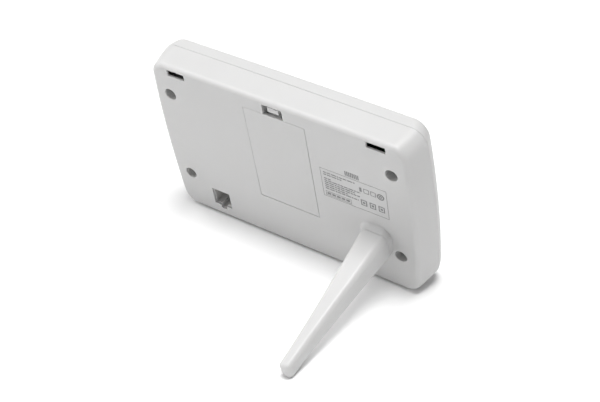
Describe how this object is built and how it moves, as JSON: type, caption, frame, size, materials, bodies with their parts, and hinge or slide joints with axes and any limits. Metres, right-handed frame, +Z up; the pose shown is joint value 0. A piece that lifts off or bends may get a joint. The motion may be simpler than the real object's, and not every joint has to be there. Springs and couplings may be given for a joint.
{
  "type": "weather station display console",
  "caption": "Flat white desk display console with a battery door, cable inlet and wall slots in its back, leaning back on its lower edge and a single tapered plug-in leg.",
  "frame": {"origin": "centre of the whole object's box on the supporting surface", "axes": "+X to the right seen from the display side, +Y towards the rear where the leg points, +Z up"},
  "size_m": [0.144, 0.1022, 0.0953],
  "materials": {
    "case_white": "moulded plastic with a fine satin texture",
    "clear_window": "polished clear acrylic",
    "display_glass": "grey-green liquid crystal display",
    "soft_grey": "light grey moulded plastic",
    "rubber_grey": "matt elastomer",
    "board_green": "lacquered circuit board",
    "black_plastic": "black moulded plastic",
    "nickel_steel": "nickel-plated steel",
    "gilt_brass": "gold-plated spring wire"
  },
  "bodies": {
    "console": {"antenna_coil": "gilt_brass", "board_screw_1": "nickel_steel", "board_screw_2": "nickel_steel", "board_screw_3": "nickel_steel", "board_screw_4": "nickel_steel", "buzzer": "black_plastic", "case_screw_1": "nickel_steel", "case_screw_2": "nickel_steel", "case_screw_3": "nickel_steel", "case_screw_4": "nickel_steel", "climate_sensor": "soft_grey", "clock_crystal": "nickel_steel", "contact_bridge_bottom": "nickel_steel", "contact_bridge_top": "nickel_steel", "contact_negative": "nickel_steel", "contact_positive": "nickel_steel", "contact_spring_1": "nickel_steel", "contact_spring_2": "nickel_steel", "contact_spring_3": "nickel_steel", "display_window": "clear_window", "elastomer_strip": "rubber_grey", "foot_pad_left": "rubber_grey", "foot_pad_right": "rubber_grey", "front_bezel": "case_white", "jack_contact_1": "gilt_brass", "jack_contact_2": "gilt_brass", "jack_contact_3": "gilt_brass", "jack_contact_4": "gilt_brass", "key_switch_1": "black_plastic", "key_switch_2": "black_plastic", "key_switch_3": "black_plastic", "key_switch_4": "black_plastic", "lcd_holder": "soft_grey", "lcd_panel": "display_glass", "light_guide": "clear_window", "main_board": "board_green", "modular_jack": "soft_grey", "processor_dome": "black_plastic", "radio_module": "board_green", "rear_cover": "case_white"},
    "leg": {"leg": "case_white"},
    "battery_door": {"battery_door": "case_white"},
    "latch": {"door_latch": "case_white"},
    "key_1_cap": {"key_1": "soft_grey"},
    "key_2_cap": {"key_2": "soft_grey"},
    "key_3_cap": {"key_3": "soft_grey"},
    "key_4_cap": {"key_4": "soft_grey"}
  },
  "joints": [
    {"name": "leg_pull", "type": "slide", "parent": "console", "child": "leg", "axis": [0, 0.9484, -0.3171], "range_m": [0, 0.014]},
    {"name": "door_swing", "type": "hinge", "parent": "console", "child": "battery_door", "pos_m": [0, -0.02548, 0.02853], "axis": [-1, 0, 0], "range_deg": [0, 80]},
    {"name": "latch_press", "type": "slide", "parent": "battery_door", "child": "latch", "axis": [0, -0.2334, -0.9724], "range_m": [0, 0.0008], "stiffness_N_per_m": 2000},
    {"name": "key_1_press", "type": "slide", "parent": "console", "child": "key_1_cap", "axis": [0, 0.9724, -0.2334], "range_m": [0, 0.0006], "stiffness_N_per_m": 1500},
    {"name": "key_2_press", "type": "slide", "parent": "console", "child": "key_2_cap", "axis": [0, 0.9724, -0.2334], "range_m": [0, 0.0006], "stiffness_N_per_m": 1500},
    {"name": "key_3_press", "type": "slide", "parent": "console", "child": "key_3_cap", "axis": [0, 0.9724, -0.2334], "range_m": [0, 0.0006], "stiffness_N_per_m": 1500},
    {"name": "key_4_press", "type": "slide", "parent": "console", "child": "key_4_cap", "axis": [0, 0.9724, -0.2334], "range_m": [0, 0.0006], "stiffness_N_per_m": 1500}
  ]
}
